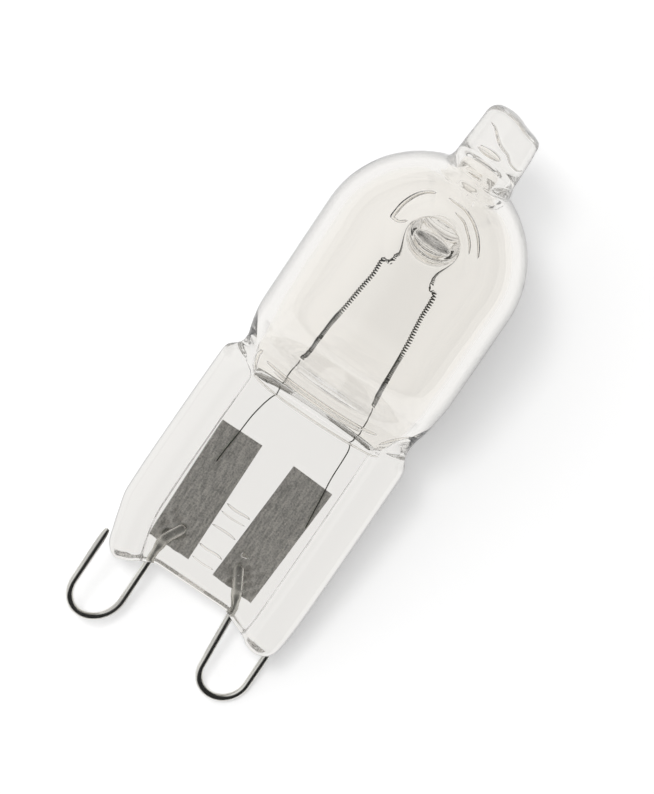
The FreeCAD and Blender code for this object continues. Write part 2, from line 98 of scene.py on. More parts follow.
# Half depth of the shoulder in its middle, as (height, half depth) pairs.
SHOULDER_DEPTH = (
    (12.4, 0.0), (13.0, 0.55), (13.3, 1.0), (13.55, 1.45), (13.85, 1.85), (14.2, 2.1),
    (14.7, 2.3), (15.2, 2.55), (15.8, 3.0), (16.4, 3.6), (17.1, 4.5), (17.9, 5.5), (18.6, 6.2),
    (19.2, 6.58), (19.9, 6.72), (20.6, 6.75),
)
# The melted stub on the dome: its two edges, and the height of its slanting top.
STUB_LEFT = ((31.95, -2.02), (32.3, -1.9), (33.2, -1.84), (34.7, -1.72), (37.0, -1.6))
STUB_RIGHT = ((31.95, 2.52), (32.3, 2.4), (33.2, 2.38), (34.5, 2.33), (35.3, 2.24), (37.0, 2.1))
STUB_DEPTH = (
    (30.2, 4.76), (30.6, 4.35), (31.0, 3.86), (31.4, 3.42), (31.8, 3.02), (32.2, 2.7), (32.6, 2.46),
    (33.1, 2.28), (33.8, 2.14), (35.0, 2.0),
)
STUB_TOP = (
    (-1.8, 36.4), (-1.3, 36.44), (-0.7, 36.42), (-0.16, 36.36), (0.4, 36.22), (0.9, 36.04),
    (1.4, 35.94), (1.9, 35.9), (2.4, 35.9),
)


def curve_through(points):
    """A smooth curve through the points that never overshoots them."""
    x = np.array([point[0] for point in points], float)
    y = np.array([point[1] for point in points], float)
    step = np.diff(x)
    slope = np.diff(y) / step
    tangent = np.zeros_like(y)
    tangent[0], tangent[-1] = slope[0], slope[-1]
    same_way = slope[:-1] * slope[1:] > 0
    mean = 3 * (step[:-1] + step[1:]) / (
        (2 * step[1:] + step[:-1]) / np.where(same_way, slope[:-1], 1)
        + (step[1:] + 2 * step[:-1]) / np.where(same_way, slope[1:], 1)
    )
    tangent[1:-1] = np.where(same_way, mean, 0)

    def value(at):
        at = np.clip(at, x[0], x[-1])
        index = np.clip(np.searchsorted(x, at, side="right") - 1, 0, len(x) - 2)
        width = step[index]
        share = (at - x[index]) / width
        return (
            y[index] * (1 + 2 * share) * (1 - share) ** 2
            + tangent[index] * width * share * (1 - share) ** 2
            + y[index + 1] * share**2 * (3 - 2 * share)
            + tangent[index + 1] * width * share**2 * (share - 1)
        )

    return value


def eased(share):
    share = np.clip(share, 0, 1)
    return share * share * (3 - 2 * share)


# Helpers for modelling

def activate(piece):
    """Deselects everything and makes one piece the active object."""
    bpy.ops.object.select_all(action="DESELECT")
    piece.select_set(True)
    bpy.context.view_layer.objects.active = piece


def named(name):
    """Names the piece that was just added."""
    piece = bpy.context.object
    piece.name = piece.data.name = name
    return piece


def edit(piece):
    activate(piece)
    bpy.ops.object.mode_set(mode="EDIT")
    bpy.ops.mesh.select_all(action="DESELECT")
    return bmesh.from_edit_mesh(piece.data)


def leave():
    bpy.ops.object.mode_set(mode="OBJECT")


def points_of(piece):
    flat = np.empty(len(piece.data.vertices) * 3)
    piece.data.vertices.foreach_get("co", flat)
    return flat.reshape(-1, 3)


def put_points(piece, points):
    piece.data.vertices.foreach_set("co", np.asarray(points, float).ravel())
    piece.data.update()


def rolled(name, around, rows):
    """A flat grid rolled into a tube: rows[i][j] is the place of point j of row i, all closed."""
    bpy.ops.object.select_all(action="DESELECT")
    bpy.ops.mesh.primitive_grid_add(
        x_subdivisions=around, y_subdivisions=len(rows) - 1, size=2, location=(0, 0, 0)
    )
    piece = named(name)
    flat = points_of(piece)
    column = np.rint((flat[:, 0] + 1) / 2 * around).astype(int) % around
    row = np.rint((flat[:, 1] + 1) / 2 * (len(rows) - 1)).astype(int)
    put_points(piece, np.array(rows, float)[row, column])
    edit(piece)
    bpy.ops.mesh.select_all(action="SELECT")
    bpy.ops.mesh.remove_doubles(threshold=1e-5)
    bpy.ops.mesh.normals_make_consistent(inside=False)
    leave()
    return piece


def turn_inside_out(piece):
    edit(piece)
    bpy.ops.mesh.select_all(action="SELECT")
    bpy.ops.mesh.flip_normals()
    leave()


def join(first, *others):
    activate(first)
    for piece in others:
        piece.select_set(True)
    bpy.ops.object.join()
    return first


def settle(piece, solid, angle=180.0):
    """Lays a finished piece where the lamp lies, and hides the model part it stands for."""
    activate(piece)
    piece.matrix_world = LAMP
    bpy.ops.object.transform_apply()
    bpy.ops.object.shade_smooth_by_angle(angle=math.radians(angle))
    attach(piece, "root")
    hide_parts(solid)


def unit(vectors):
    return vectors / np.linalg.norm(vectors, axis=1)[:, None]


def swept(name, path, width, height=None, around=12, side=(1, 0, 0)):
    """A rod along the points of a path; width and height may change from point to point."""
    path = np.array(path, float)
    count = len(path)
    width = np.broadcast_to(np.array(width, float), count)
    height = width if height is None else np.broadcast_to(np.array(height, float), count)
    heading = unit(np.gradient(path, axis=0))
    across = np.empty_like(path)
    guide = np.array(side, float)
    for i in range(count):
        guide = guide - heading[i] * guide.dot(heading[i])
        guide /= np.linalg.norm(guide)
        across[i] = guide
    upright = np.cross(heading, across)
    turn = np.linspace(0, 2 * math.pi, around, endpoint=False)
    ring = (
        across[:, None, :] * (np.cos(turn)[None, :, None] * width[:, None, None] / 2)
        + upright[:, None, :] * (np.sin(turn)[None, :, None] * height[:, None, None] / 2)
    )
    return rolled(name, around, list(path[:, None, :] + ring))


# Materials

def put(tree, socket, value):
    """Sets an input, or links it where the value is another node's output."""
    if isinstance(value, bpy.types.NodeSocket):
        tree.links.new(value, socket)
    else:
        socket.default_value = value


def new_material(name, values):
    """A material with one Principled shader, of which the given inputs are set."""
    material = bpy.data.materials.new(name)
    material.use_nodes = True
    tree = material.node_tree
    shader = tree.nodes["Principled BSDF"]
    for key, value in values.items():
        put(tree, shader.inputs[key], value)
    return material, tree, shader


def node(tree, kind, **values):
    """Adds a node; each value goes to its input or its setting of that name."""
    made = tree.nodes.new(kind)
    for key, value in values.items():
        if key in made.inputs:
            put(tree, made.inputs[key], value)
        else:
            setattr(made, key, value)
    return made


def noise(tree, scale, detail, stretch=(1, 1, 1), turned=(0, 0, 0)):
    """Object-space noise, with the pattern turned and stretched."""
    place = node(tree, "ShaderNodeTexCoord").outputs["Object"]
    mapping = node(tree, "ShaderNodeMapping", Vector=place, Scale=stretch, Rotation=turned)
    made = node(tree, "ShaderNodeTexNoise", Scale=scale, Detail=detail)
    put(tree, made.inputs["Vector"], mapping.outputs["Vector"])
    return made.outputs["Fac"]


def ramp(tree, source, stops):
    """Colour by the value of a source, through the stops as (value, colour)."""
    made = node(tree, "ShaderNodeValToRGB", Fac=source)
    elements = made.color_ramp.elements
    elements.remove(elements[0])
    for index, (position, colour) in enumerate(stops):
        stop = elements.new(position) if index else elements[0]
        stop.position = position
        stop.color = (*colour[:3], 1)
    return made.outputs["Color"]


def mixed(tree, share, first, second, **settings):
    """Colour between two others, each of them a value or an output."""
    made = node(
        tree, "ShaderNodeMix", data_type="RGBA", Factor=share, A=first, B=second, **settings
    )
    return made.outputs["Result"]


def maths(tree, operation, *values):
    made = node(tree, "ShaderNodeMath", operation=operation)
    for socket, value in zip(made.inputs, values):
        put(tree, socket, value)
    return made.outputs["Value"]


def grey(value):
    return (value, value, value)


def shade(colour, factor):
    return tuple(min(1.0, channel * factor) for channel in colour[:3])


def bump(tree, shader, height, strength, distance):
    made = node(tree, "ShaderNodeBump", Height=height, Strength=strength, Distance=distance)
    put(tree, shader.inputs["Normal"], made.outputs["Normal"])


def finish_quartz(name, colour, outside):
    """Clear fused quartz with the faint waves of blown and pressed glass, and on its outer surface
    a painted grey outline.
    """
    material, tree, shader = new_material(name, {
        "Base Color": colour, "Roughness": 0.0, "IOR": 1.458, "Transmission Weight": 1.0,
    })
    if outside:
        # painted shade: the base colour darkens towards black where the glass is seen along its
        # surface, which paints a thin grey outline
        graze = node(tree, "ShaderNodeLayerWeight", Blend=0.5).outputs["Facing"]
        painted_outline = ramp(tree, graze, ((0.6, colour), (0.84, shade(colour, 0.1))))
        put(tree, shader.inputs["Base Color"], painted_outline)
    ripples = noise(tree, 260.0, detail=2.0, stretch=(1.0, 0.55, 1.0))
    bump(tree, shader, ripples, strength=0.25, distance=0.0002)
    return material


def finish_wire(name, light, dark):
    """Drawn wire: long fine scratches along it, with a slightly mottled oxide."""
    material, tree, shader = new_material(name, {"Metallic": 1.0})
    marks = noise(tree, 900.0, detail=4.0, stretch=(1.0, 0.25, 1.0))
    put(tree, shader.inputs["Base Color"], ramp(tree, marks, ((0.3, dark), (0.7, light))))
    gloss = ramp(tree, marks, ((0.3, grey(0.32)), (0.7, grey(0.2))))
    put(tree, shader.inputs["Roughness"], gloss)
    bump(tree, shader, marks, strength=0.12, distance=0.00004)
    return material


def finish_foil(light, dark):
    """Etched foil sealed in the glass: streaks along it and a fine mottle."""
    material, tree, shader = new_material("etched_foil", {"Metallic": 0.15, "Roughness": 0.55})
    streaks = noise(tree, 6500.0, detail=4.0, stretch=(1.0, 0.14, 0.6), turned=(0.0, 0.0, 0.3))
    mottle = noise(tree, 9000.0, detail=5.0)
    both = node(tree, "ShaderNodeMix", data_type="FLOAT", Factor=0.5, A=streaks, B=mottle)
    marks = both.outputs["Result"]
    put(tree, shader.inputs["Base Color"], ramp(tree, marks, ((0.38, dark), (0.62, light))))
    bump(tree, shader, marks, strength=0.7, distance=0.00006)
    return material


def finish_floor():
    """White table top that keeps the object's shadow and shows white to the camera."""
    material, tree, shader = new_material("white_table", {
        "Roughness": 0.9, "Specular IOR Level": 0.1, "Emission Color": (1, 1, 1, 1),
    })
    grain = noise(tree, 30.0, detail=2.0)
    tone = ramp(tree, grain, ((0.3, grey(0.86)), (0.7, grey(0.88))))
    rays = node(tree, "ShaderNodeLightPath").outputs
    through = rays["Is Transmission Ray"]
    top = mixed(tree, through, tone, (*FLOOR_THROUGH_GLASS, 1))
    put(tree, shader.inputs["Base Color"], top)
    # the glow is for rays that see the table, not for those that light things
    seen = maths(tree, "MAXIMUM", rays["Is Camera Ray"], rays["Is Glossy Ray"])
    seen = maths(tree, "MAXIMUM", seen, through)
    lifted = maths(tree, "MULTIPLY_ADD", through, GLOW_THROUGH_GLASS, seen)
    put(tree, shader.inputs["Emission Strength"], maths(tree, "MULTIPLY", lifted, FLOOR_GLOW))
    return material


# Sizes and colours a user would change

def length_property(name, description, default):
    return bpy.props.FloatProperty(
        name=name, description=description, default=default, subtype="DISTANCE", unit="LENGTH",
    )


def colour_property(name, description, default):
    return bpy.props.FloatVectorProperty(
        name=name, description=description, default=default, subtype="COLOR", size=4,
        min=0.0, max=1.0,
    )


class CapsuleSizes(bpy.types.PropertyGroup):
    web: length_property("Web", "Thickness of the flat pinch between its rails", 0.0024)
    rail: length_property("Rail", "Thickness of the pinch over its rails", 0.0036)
    wire: length_property("Contact wire", "Diameter of the contact loops' wire", 0.0005)
    coil: length_property("Coil", "Outer diameter of the filament's coil", 0.00034)
    strand: length_property(
        "Filament wire", "Diameter of the wire the filament is wound from", 0.00008
    )


class CapsuleColours(bpy.types.PropertyGroup):
    quartz: colour_property("Quartz", "Tint of the clear quartz", (0.985, 0.969, 0.94, 1.0))
    contact: colour_property("Contact wire", "Colour of the contact loops", (0.7, 0.69, 0.65, 1.0))
    tungsten: colour_property("Tungsten", "Colour of the filament", (0.1, 0.1, 0.085, 1.0))
    foil: colour_property("Foil", "Colour of the sealed foils", (0.8, 0.785, 0.75, 1.0))


# Quartz envelope

AROUND = 160
BULB_RADIUS = 6.75
DOME_CENTRE = 25.42
TUBE_FOOT = 20.6
RAIL_WIDTH = 2.2
RAIL_SLOPE = 0.55
RAIL_FADE = 13.5
RAIL_FADE_LENGTH = 1.6
NECK_CORNER = 0.3
RAIL_CROWN = 2.5
FOOT_ROUNDING = 0.45
# Heights where the pinch's two edges run straight and where its neck begins.
STRAIGHT_FROM = 3.0
NECK_FOOT = 12.8
# Distance between the rings of each part.
PINCH_STEP = 0.45
NECK_STEP = 0.18
TUBE_STEP = 0.3
# Height over which the foot's rings close up.
FOOT_REACH = 3.6
# Radius at which the dome turns up into the stub, the rings of that turn as (radius, centre,
# rise), and the heights between which the stub has its own edges.
STUB_RADIUS = 2.45
STUB_TURN = ((2.38, 0.17, 0.05), (2.32, 0.21, 0.13), (2.27, 0.24, 0.24))
STUB_FOOT = 32.1
STUB_SHOULDER = 35.0
# How far the stub's top lies below its drawn outline.
TOP_DROP = 0.1


def chain_shares():
    """Share of the width at each point of the front half of a ring, closer at both ends."""
    turn = np.linspace(0, math.pi, AROUND // 2 + 1)
    return (1 - np.cos(turn)) / 2, np.sin(turn)


def ring(across, depth, height):
    """A full ring from its front half: the back half mirrors it."""
    height = np.broadcast_to(height, across.shape)
    front = np.stack((across, -depth, height), axis=1)
    back = np.stack((across, depth, height), axis=1)
    return np.concatenate((front, back[-2:0:-1]))


def pinch_depth(across, left, right, web, rail):
    """Half depth of the pinch: a crowned rail along each edge and a flat web between."""
    depth = np.full_like(across, web)
    for inset in (across - left, right - across):
        crown = rail * (1 - (1 - np.clip(inset / rail, 0, 1)) ** RAIL_CROWN) ** (1 / RAIL_CROWN)
        fall = eased((RAIL_WIDTH + RAIL_SLOPE / 2 - inset) / RAIL_SLOPE)
        depth = np.where(inset < RAIL_WIDTH + RAIL_SLOPE / 2, web + (crown - web) * fall, depth)
        depth = np.where(inset < rail, crown, depth)
    return depth


def outer_rows(web, rail):
    """Rings of the outer surface, from the foot of the pinch to the top of the stub."""
    left_at, right_at = curve_through(LEFT_EDGE), curve_through(RIGHT_EDGE)
    foot_at, depth_at = curve_through(FOOT), curve_through(SHOULDER_DEPTH)
    share, bow = chain_shares()
    low_left, low_right = LEFT_EDGE[0][0], RIGHT_EDGE[0][0]

    def foot_row(rise, factor, lift):
        """A ring near the foot: rise is the share of the way up to the straight pinch."""
        left = left_at(low_left * (1 - rise) + STRAIGHT_FROM * rise)
        right = right_at(low_right * (1 - rise) + STRAIGHT_FROM * rise)
        across = left + (right - left) * share
        height = foot_at(across) * (1 - rise) + STRAIGHT_FROM * rise
        depth = pinch_depth(across, left, right, web, rail)
        shrink = 1 - FOOT_ROUNDING / np.maximum(depth, FOOT_ROUNDING) * (1 - lift)
        return ring(across, depth * shrink * factor, height)

    rows = [foot_row(0.0, factor, 0.0) for factor in (0.0, 0.35, 0.7)]
    for angle in np.linspace(0, math.pi / 2, 7):
        rise = FOOT_ROUNDING * (1 - math.cos(angle)) / FOOT_REACH
        rows.append(foot_row(rise, 1.0, math.sin(angle)))
    for rise in np.linspace(FOOT_ROUNDING / FOOT_REACH, 1.0, 12)[1:-1]:
        rows.append(foot_row(rise, 1.0, 1.0))

    def pinch_row(height):
        left, right = left_at(height), right_at(height)
        across = left + (right - left) * share
        flat = pinch_depth(across, left, right, web, rail)
        flat = flat * (1 - eased((height - RAIL_FADE) / RAIL_FADE_LENGTH))
        full = bow * depth_at(height)
        return ring(across, -softly_less(-flat, -full, NECK_CORNER), height)

    rows += [pinch_row(height) for height in np.arange(STRAIGHT_FROM, NECK_FOOT, PINCH_STEP)]
    rows += [pinch_row(height) for height in np.arange(NECK_FOOT, TUBE_FOOT, NECK_STEP)]

    stub_left, stub_right = curve_through(STUB_LEFT), curve_through(STUB_RIGHT)
    stub_depth_at = curve_through(STUB_DEPTH)

    def round_row(centre, radius, height):
        depth = radius
        if height > STUB_DEPTH[0][0]:
            depth = max(radius, float(stub_depth_at(height)))
        return ring(centre + radius * (2 * share - 1), depth * bow, height)

    for height in np.arange(TUBE_FOOT, DOME_CENTRE, TUBE_STEP):
        rows.append(round_row(0.0, BULB_RADIUS, height))
    last = math.acos(STUB_RADIUS / BULB_RADIUS)
    for angle in np.linspace(0, last, 31):
        height = DOME_CENTRE + BULB_RADIUS * math.sin(angle)
        rows.append(round_row(0.0, BULB_RADIUS * math.cos(angle), height))
    dome_edge = DOME_CENTRE + BULB_RADIUS * math.sin(last)
    for radius, centre, rise in STUB_TURN:
        rows.append(round_row(centre, radius, dome_edge + rise))
    for height in np.linspace(STUB_FOOT, STUB_SHOULDER, 13):
        left, right = float(stub_left(height)), float(stub_right(height))
        rows.append(round_row((left + right) / 2, (right - left) / 2, height))
    top_at = curve_through(STUB_TOP)
    left, right = float(stub_left(STUB_SHOULDER)), float(stub_right(STUB_SHOULDER))
    centre, radius = (left + right) / 2, (right - left) / 2
    for angle in np.linspace(0, math.pi / 2, 13)[1:]:
        shrink = math.cos(angle) ** 0.5 if angle < math.pi / 2 else 0.0
        rise = math.sin(angle) ** 0.6
        across = centre + radius * shrink * (2 * share - 1)
        height = STUB_SHOULDER + (top_at(across) - TOP_DROP - STUB_SHOULDER) * rise
        rows.append(ring(across, radius * shrink * bow, height))
    for shrink in (0.3, 0.15):
        across = centre + radius * shrink * (2 * share - 1)
        rows.insert(-1, ring(across, radius * shrink * bow, top_at(across) - TOP_DROP))
    return rows


# Sealed bubbles: name, place, half sizes and depth of the three lobes.
BUBBLES = (
    ("seal_bubble", (1.34, -0.26, 3.62), (0.3, 0.14, 0.19), 0.12),
    ("tip_bubble", (0.0, -0.6, 33.42), (0.66, 0.3, 0.3), 0.0),
)
# A fold left in the stub where the tube was melted shut.
TIP_FOLD = (
    (1.9, -0.3, 33.65), (1.55, -0.35, 33.45), (1.15, -0.4, 33.55), (0.75, -0.4, 33.95),
    (0.3, -0.35, 34.15), (-0.1, -0.35, 34.55), (-0.45, -0.35, 34.95), (-0.8, -0.35, 35.1),
)
# Fine folds round the dimple's mouth, across the web and along the neck: points and breadth.
SEAL_FOLDS = (
    (((-1.85, -5.35, 27.9), (-2.4, -5.3, 27.5), (-2.75, -5.2, 27.5), (-2.7, -4.95, 28.2),
      (-2.4, -4.55, 29.1), (-1.9, -4.2, 29.7), (-1.3, -4.0, 30.0)), 0.2),
    (((-0.6, -4.0, 30.15), (0.4, -4.05, 30.15), (1.2, -4.1, 29.9), (1.9, -4.25, 29.45),
      (2.5, -4.5, 28.8), (2.9, -4.75, 28.1)), 0.16),
    (((0.2, -4.45, 29.75), (0.9, -4.5, 29.6), (1.5, -4.7, 29.2), (2.0, -4.85, 28.7),
      (2.35, -5.05, 28.1)), 0.13),
    (((-1.45, -1.0, 5.92), (-0.7, -1.0, 5.84), (0.1, -1.0, 5.9), (0.45, -1.0, 5.8)), 0.15),
    (((-1.5, -1.0, 5.32), (-0.6, -1.0, 5.25), (0.3, -1.0, 5.33)), 0.09),
    (((-1.5, -1.0, 4.28), (-0.5, -1.0, 4.33), (0.35, -1.0, 4.25)), 0.13),
    (((-1.5, -1.0, 2.8), (-0.9, -1.0, 2.72), (-0.2, -1.0, 2.78), (0.3, -1.0, 2.7)), 0.15),
    (((-1.45, -1.0, 1.85), (-0.6, -1.0, 1.78), (0.2, -1.0, 1.84)), 0.1),
    (((-4.6, -0.95, 13.85), (-3.0, -1.0, 13.62), (0.0, -1.0, 13.55), (3.0, -1.0, 13.6),
      (4.9, -0.95, 13.7)), 0.2),
    (((-4.3, -1.25, 15.05), (-2.8, -1.5, 14.95), (0.0, -1.6, 14.9), (2.6, -1.5, 14.95),
      (3.9, -1.3, 15.1)), 0.28),
    (((-3.6, -1.3, 14.75), (-1.5, -1.5, 14.62), (1.0, -1.5, 14.58), (3.0, -1.35, 14.7)), 0.2),
    (((4.3, -1.1, 14.55), (4.7, -1.0, 15.1), (5.1, -0.95, 15.6), (5.6, -0.7, 16.2)), 0.22),
    (((-4.55, -1.1, 14.0), (-4.8, -1.0, 14.5), (-4.9, -0.95, 15.0), (-4.75, -1.1, 15.6)), 0.26),
)
# Section of such a fold as shares of its breadth, and each kind's taper: ends, middle, power.
FOLD_WIDTH = 1.5
FOLD_DEPTH = 1.3
SEAL_TAPER = (0.25, 1.0, 0.4)
TIP_TAPER = (0.03, 0.16, 0.5)
TIP_FOLD_STRETCH = 3
SEAL_FOLD_STEP = 0.15
TIP_FOLD_STEP = 0.05
# The gas space begins in a slit at the neck, off centre and bowed down at both ends.
INNER_FOOT = 14.2
SLIT_HALF_WIDTH = 4.4
SLIT_HALF_DEPTH = 0.1
SLIT_CENTRE = -0.15
SLIT_SAG = -0.25
SLIT_FADE = 1.8
SHOULDER_FOOT = 16.0
# Distance between the gas space's rings, part by part.
SLIT_STEP = 0.15
SHOULDER_STEP = 0.25
INNER_STEP = 0.35
TIP_STEP = 0.09
INNER_DEPTH = (
    (14.2, 0.12), (14.26, 0.36), (14.4, 0.58), (14.7, 0.8), (15.1, 1.0), (15.6, 1.4), (16.3, 2.25),
    (17.1, 3.4), (17.9, 4.5), (18.6, 5.25), (19.2, 5.62), (19.9, 5.74), (20.6, 5.75),
)
INNER_WIDTH = (
    (14.2, 4.4), (14.32, 4.62), (14.6, 4.8), (15.2, 4.95), (16.0, 5.25), (17.0, 5.5), (18.0, 5.68),
    (19.2, 5.74), (20.6, 5.75),
)
INNER_RADIUS = 5.75
# Hollow that runs on into the stub, as (half width, half depth, height).
TIP_HOLLOW = (
    (2.4, 2.4, 30.645), (1.9, 2.3, 30.87), (1.6, 2.24, 31.1), (1.42, 2.08, 31.35),
    (1.36, 1.92, 31.6), (1.33, 1.77, 31.85), (1.3, 1.6, 32.15), (1.24, 1.42, 32.4),
    (1.12, 1.25, 32.6), (0.9, 1.0, 32.78), (0.6, 0.65, 32.89), (0.3, 0.35, 32.94),
    (0.02, 0.02, 32.95),
)
TIP_CENTRE = 0.12
TIP_FOOT = 30.6
TIP_FADE = 1.5


def inner_rows():
    """Rings of the gas space's surface, from its slit to the end of the exhaust passage."""
    depth_at, width_at = curve_through(INNER_DEPTH), curve_through(INNER_WIDTH)
    share, bow = chain_shares()
    rows = []

    def row(centre, half_width, half_depth, height, sag=0.0):
        across = centre + half_width * (2 * share - 1)
        height = height + sag * (2 * share - 1) ** 2
        return ring(across, half_depth * bow, height)

    for factor in (0.0, 0.5):
        half_depth = SLIT_HALF_DEPTH * factor
        rows.append(row(SLIT_CENTRE, SLIT_HALF_WIDTH, half_depth, INNER_FOOT, SLIT_SAG))
    for height in np.arange(INNER_FOOT, SHOULDER_FOOT, SLIT_STEP):
        left = 1 - float(eased((height - INNER_FOOT) / SLIT_FADE))
        half_width, half_depth = width_at(height), depth_at(height)
        rows.append(row(SLIT_CENTRE * left, half_width, half_depth, height, SLIT_SAG * left))
    for height in np.arange(SHOULDER_FOOT, TUBE_FOOT, SHOULDER_STEP):
        rows.append(row(0.0, width_at(height), depth_at(height), height))
    for height in np.arange(TUBE_FOOT, DOME_CENTRE, INNER_STEP):
        rows.append(row(0.0, INNER_RADIUS, INNER_RADIUS, height))
    last = math.acos(TIP_HOLLOW[0][0] / INNER_RADIUS)
    for angle in np.linspace(0, last, 30):
        radius = INNER_RADIUS * math.cos(angle)
        rows.append(row(0.0, radius, radius, DOME_CENTRE + INNER_RADIUS * math.sin(angle)))
    for half_width, half_depth, height in smooth_path(TIP_HOLLOW, TIP_STEP)[1:]:
        across = TIP_CENTRE * float(eased((height - TIP_FOOT) / TIP_FADE))
        rows.append(row(across, half_width, half_depth, height))
    rows.append(row(TIP_CENTRE, 0.0, 0.0, TIP_HOLLOW[-1][2]))
    return rows


DIMPLE_ACROSS = 0.09
DIMPLE_HEIGHT = 27.7
DIMPLE_AROUND = 120
# Radius of the hole cut for a dimple, outside and inside, and the gap left for the stitching.
AIR_CUT = 2.95
GAS_CUT = 2.6
DIMPLE_GAP = 0.3
# Reach of the soft lip round a dimple, outside and inside, and how far the dome sinks in.
AIR_LIP = 0.7
GAS_LIP = 0.8
DIMPLE_SINK = 0.42
# Where the stitching starts, how far one rim lags behind the other, and its least turn.
RIM_START = 0.8
RIM_LAG = 0.05
RIM_TURN = 1e-3
PASSAGE_STEP = 0.12
# Passage of each dimple from its end outwards, as (half width, half height, depth).
AIR_PASSAGE = (
    (0.0, 0.0, 0.8), (0.75, 0.14, 0.8), (1.05, 0.22, 0.9), (1.14, 0.26, 1.2), (1.15, 0.27, 2.0),
    (1.16, 0.28, 3.6), (1.18, 0.3, 5.4), (1.22, 0.36, 6.0), (1.4, 0.6, 6.7), (2.0, 1.4, 7.4),
    (3.0, 3.0, 8.2),
)
GAS_PASSAGE = (
    (0.0, 0.0, 0.16), (1.1, 0.75, 0.16), (1.36, 0.96, 0.26), (1.48, 1.08, 0.6), (1.5, 1.1, 1.2),
    (1.5, 1.1, 3.0), (1.52, 1.12, 4.5), (1.58, 1.18, 5.1), (1.8, 1.45, 5.7), (2.3, 2.1, 6.3),
    (3.0, 3.0, 7.2),
)


def softly_less(first, second, reach):
    """The lesser of two, with the corner between them rounded over a reach."""
    share = np.clip(0.5 + 0.5 * (second - first) / reach, 0, 1)
    return second + (first - second) * share - reach * share * (1 - share)


def around_dimple(place):
    return math.atan2(place.z - DIMPLE_HEIGHT, place.x - DIMPLE_ACROSS)


def in_order(rim, start):
    """The rim's vertices in the order of its edges, closed, and how far round each one is."""
    order = [min(rim, key=lambda vertex: abs(around_dimple(vertex.co) - start))]
    while len(order) < len(rim):
        ahead = [edge.other_vert(order[-1]) for edge in order[-1].link_edges if edge.is_boundary]
        order.append(next(vertex for vertex in ahead if vertex not in order[-2:-1]))
    turns = np.unwrap([around_dimple(vertex.co) for vertex in order])
    if turns[-1] < turns[0]:
        order = order[:1] + order[:0:-1]
        turns = np.unwrap([around_dimple(vertex.co) for vertex in order])
    return order + order[:1], [*turns, turns[0] + 2 * math.pi]


def stitch(mesh, dome_rim, passage_rim):
    """Joins the two rims with a ring of triangles, whatever their counts, without a fold."""
    first, first_turns = in_order(dome_rim, RIM_START)
    second, second_turns = in_order(passage_rim, first_turns[0] - RIM_LAG)

    def faces_out(i, j):
        along, inward = first[i + 1].co - first[i].co, second[j].co - first[i].co
        return along.xz.cross(inward.xz) > RIM_TURN

    i = j = 0
    while i < len(dome_rim) or j < len(passage_rim):
        corners = [first[i], second[j]]
        next_turn = first_turns[min(i + 1, len(dome_rim))]
        ahead = j == len(passage_rim) or next_turn < second_turns[j + 1] + RIM_LAG
        if i < len(dome_rim) and ahead and (faces_out(i, j) or j == len(passage_rim)):
            i += 1
            corners.append(first[i])
        else:
            j += 1
            corners.append(second[j])
        mesh.faces.new(corners)


def press_dimple(piece, side, sphere, passage, lip, cut, sink=0.0):
    """Cuts a round hole in the dome and stitches its rim to a pressed-in passage.

    The passage is oval at its end and round where it meets the dome in a soft lip; the dome
    round it sinks in like a saucer.
    """
    mesh = edit(piece)
    for face in mesh.faces:
        middle = face.calc_center_median()
        away = math.hypot(middle.x - DIMPLE_ACROSS, middle.z - DIMPLE_HEIGHT)
        if middle.y * side > 0 and away < cut + DIMPLE_GAP:
            face.select_set(True)
    bpy.ops.mesh.delete(type="FACE")
    leave()
    turn = np.linspace(0, 2 * math.pi, DIMPLE_AROUND, endpoint=False)
    rows = []
    for half_width, half_height, depth in smooth_path(passage, PASSAGE_STEP):
        half_width, half_height = min(half_width, cut), min(half_height, cut)
        x = DIMPLE_ACROSS + half_width * np.cos(turn)
        z = DIMPLE_HEIGHT + half_height * np.sin(turn)
        dome = np.sqrt(sphere**2 - x**2 - np.maximum(z - DOME_CENTRE, 0) ** 2)
        away = np.hypot(x - DIMPLE_ACROSS, z - DIMPLE_HEIGHT) / cut
        dome = dome - sink * (1 - np.minimum(away, 1) ** 3) ** 1.5
        y = side * softly_less(dome, depth, lip)
        rows.append(np.stack((x, y, z), axis=1))
        if half_width >= cut:
            break
    count = len(piece.data.vertices)
    join(piece, rolled("passage", DIMPLE_AROUND, rows))
    mesh = edit(piece)
    open_verts = [vertex for vertex in mesh.verts if vertex.is_boundary]
    dome_rim = [vertex for vertex in open_verts if vertex.index < count]
    passage_rim = [vertex for vertex in open_verts if vertex.index >= count]
    stitch(mesh, dome_rim, passage_rim)
    bmesh.update_edit_mesh(piece.data)
    bpy.ops.mesh.select_all(action="SELECT")
    bpy.ops.mesh.normals_make_consistent(inside=False)
    leave()


def bubble(name, place, radii, lobes):
    """A sealed bubble in the glass, oval or with three lobes."""
    bpy.ops.object.select_all(action="DESELECT")
    bpy.ops.mesh.primitive_uv_sphere_add(segments=32, ring_count=16, radius=1.0)
    piece = named(name)
    points = points_of(piece)
    pinch = 1 + lobes * np.cos(3 * np.arctan2(points[:, 2], points[:, 0]))
    put_points(piece, points * np.array(radii) * pinch[:, None] + np.array(place))
    turn_inside_out(piece)
    return piece


def tapered(count, ends, middle, power):
    """Breadths along a fold that is closed at both ends."""
    breadths = ends + (middle - ends) * np.sin(np.linspace(0, math.pi, count)) ** power
    breadths[[0, -1]] = 0
    return breadths


